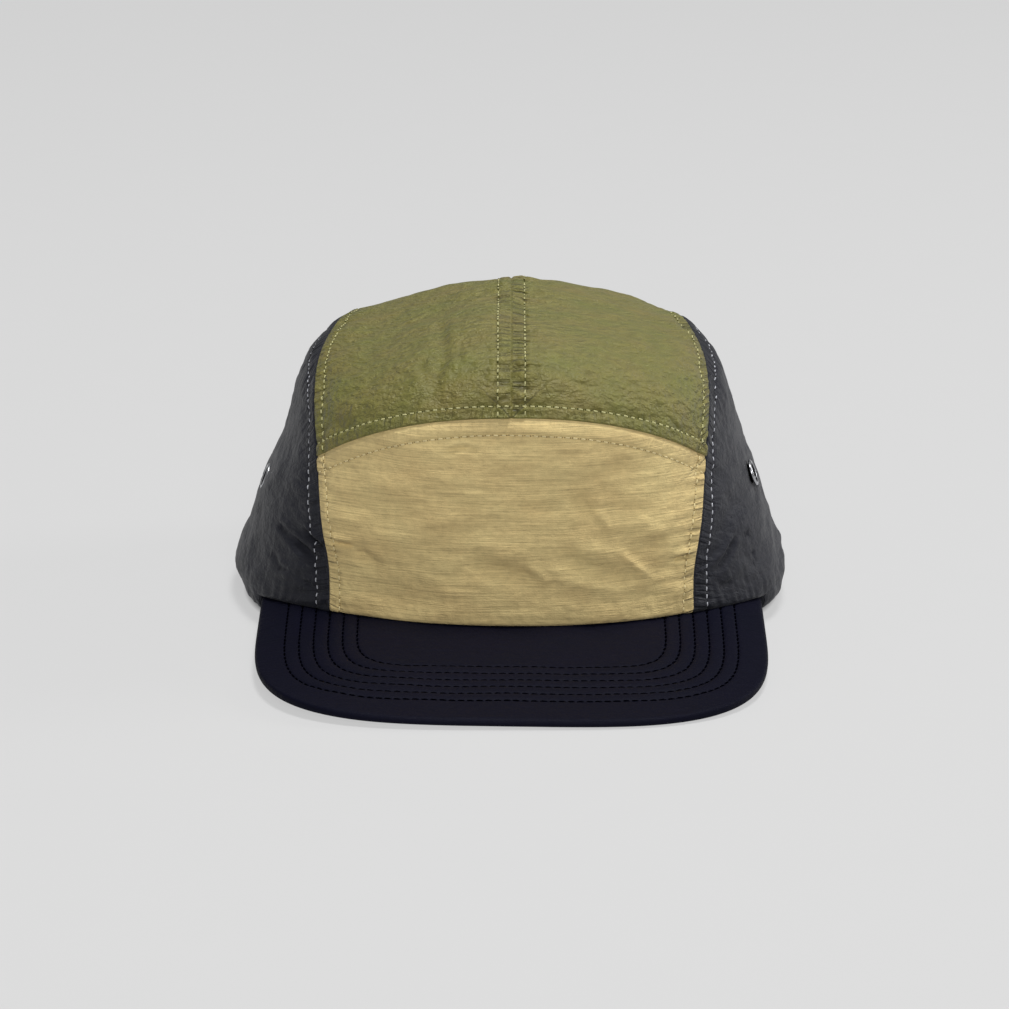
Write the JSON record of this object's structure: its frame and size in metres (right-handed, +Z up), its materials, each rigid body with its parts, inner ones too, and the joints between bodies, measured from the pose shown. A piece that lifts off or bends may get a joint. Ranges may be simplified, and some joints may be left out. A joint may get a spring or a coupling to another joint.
{
  "type": "peaked cap",
  "caption": "Soft five panel cap in khaki, olive and charcoal cloth with a flat black stitched peak, side vent eyelets and a webbing strap behind.",
  "frame": {"origin": "middle of the cap's footprint, on the surface that it rests on", "axes": "+Z up, the peak points to -Y, +X is the right of someone facing the peak"},
  "size_m": [0.2012, 0.2474, 0.1133],
  "materials": {
    "khaki_cloth": "matte crinkled nylon with fine cross threads",
    "olive_cloth": "matte crinkled nylon",
    "charcoal_cloth": "matte crinkled nylon",
    "peak_cloth": "matte stitched nylon over a stiff board",
    "webbing": "woven webbing",
    "slider_plastic": "moulded, matte",
    "eyelet_metal": "pressed metal, satin"
  },
  "bodies": {
    "root": {"front_panel": "khaki_cloth", "top_panel_left": "olive_cloth", "top_panel_right": "olive_cloth", "side_panel_left": "charcoal_cloth", "side_panel_right": "charcoal_cloth", "peak": "peak_cloth", "back_strap": "webbing", "strap_buckle": "slider_plastic", "eyelet_left": "eyelet_metal", "eyelet_right": "eyelet_metal"}
  },
  "joints": []
}
